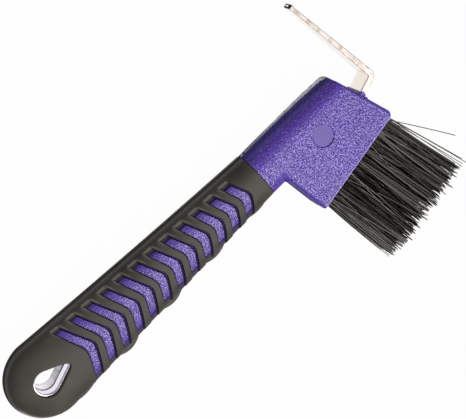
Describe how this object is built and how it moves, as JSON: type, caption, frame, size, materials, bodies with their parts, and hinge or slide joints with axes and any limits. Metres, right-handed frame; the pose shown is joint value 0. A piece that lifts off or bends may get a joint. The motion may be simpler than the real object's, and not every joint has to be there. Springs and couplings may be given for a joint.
{
  "type": "hoof pick with brush",
  "caption": "Hoof pick and brush: a bent flat-steel pick and stiff bristles set in a moulded head, on a tapered rubber-sleeved handle with chevron grooves and a teardrop hanging hole.",
  "frame": {"origin": "middle of the bounding box, on the plane that the tool lies on, which touches the back of the head and grip", "axes": "+X along the handle from the butt to the head, +Y the side that the steel pick points to with the bristles towards -Y, +Z out of the face that looks up"},
  "size_m": [0.222, 0.12, 0.018],
  "materials": {
    "purple_plastic": "fine leather grain",
    "black_rubber": "matt, smooth on the back and ribs",
    "pick_steel": "bright plated, tip worn dark",
    "eyelet_metal": "bright",
    "bristle_nylon": "satin, stiff filaments",
    "anchor_wire": "flat wire"
  },
  "bodies": {
    "root": {"head_and_handle_core": "purple_plastic", "rubber_grip_sleeve": "black_rubber", "steel_hoof_pick": "pick_steel", "hanging_hole_eyelet": "eyelet_metal", "bristle_tuft_row1_1": "bristle_nylon", "bristle_tuft_row1_2": "bristle_nylon", "bristle_tuft_row1_3": "bristle_nylon", "bristle_tuft_row1_4": "bristle_nylon", "bristle_tuft_row1_5": "bristle_nylon", "bristle_tuft_row1_6": "bristle_nylon", "bristle_tuft_row1_7": "bristle_nylon", "bristle_tuft_row1_8": "bristle_nylon", "bristle_tuft_row1_9": "bristle_nylon", "bristle_tuft_row2_1": "bristle_nylon", "bristle_tuft_row2_2": "bristle_nylon", "bristle_tuft_row2_3": "bristle_nylon", "bristle_tuft_row2_4": "bristle_nylon", "bristle_tuft_row2_5": "bristle_nylon", "bristle_tuft_row2_6": "bristle_nylon", "bristle_tuft_row2_7": "bristle_nylon", "bristle_tuft_row2_8": "bristle_nylon", "bristle_tuft_row3_1": "bristle_nylon", "bristle_tuft_row3_2": "bristle_nylon", "bristle_tuft_row3_3": "bristle_nylon", "bristle_tuft_row3_4": "bristle_nylon", "bristle_tuft_row3_5": "bristle_nylon", "bristle_tuft_row3_6": "bristle_nylon", "bristle_tuft_row3_7": "bristle_nylon", "bristle_tuft_row3_8": "bristle_nylon", "bristle_tuft_row3_9": "bristle_nylon", "tuft_anchor_row1_1": "anchor_wire", "tuft_anchor_row1_2": "anchor_wire", "tuft_anchor_row1_3": "anchor_wire", "tuft_anchor_row1_4": "anchor_wire", "tuft_anchor_row1_5": "anchor_wire", "tuft_anchor_row1_6": "anchor_wire", "tuft_anchor_row1_7": "anchor_wire", "tuft_anchor_row1_8": "anchor_wire", "tuft_anchor_row1_9": "anchor_wire", "tuft_anchor_row2_1": "anchor_wire", "tuft_anchor_row2_2": "anchor_wire", "tuft_anchor_row2_3": "anchor_wire", "tuft_anchor_row2_4": "anchor_wire", "tuft_anchor_row2_5": "anchor_wire", "tuft_anchor_row2_6": "anchor_wire", "tuft_anchor_row2_7": "anchor_wire", "tuft_anchor_row2_8": "anchor_wire", "tuft_anchor_row3_1": "anchor_wire", "tuft_anchor_row3_2": "anchor_wire", "tuft_anchor_row3_3": "anchor_wire", "tuft_anchor_row3_4": "anchor_wire", "tuft_anchor_row3_5": "anchor_wire", "tuft_anchor_row3_6": "anchor_wire", "tuft_anchor_row3_7": "anchor_wire", "tuft_anchor_row3_8": "anchor_wire", "tuft_anchor_row3_9": "anchor_wire"}
  },
  "joints": []
}
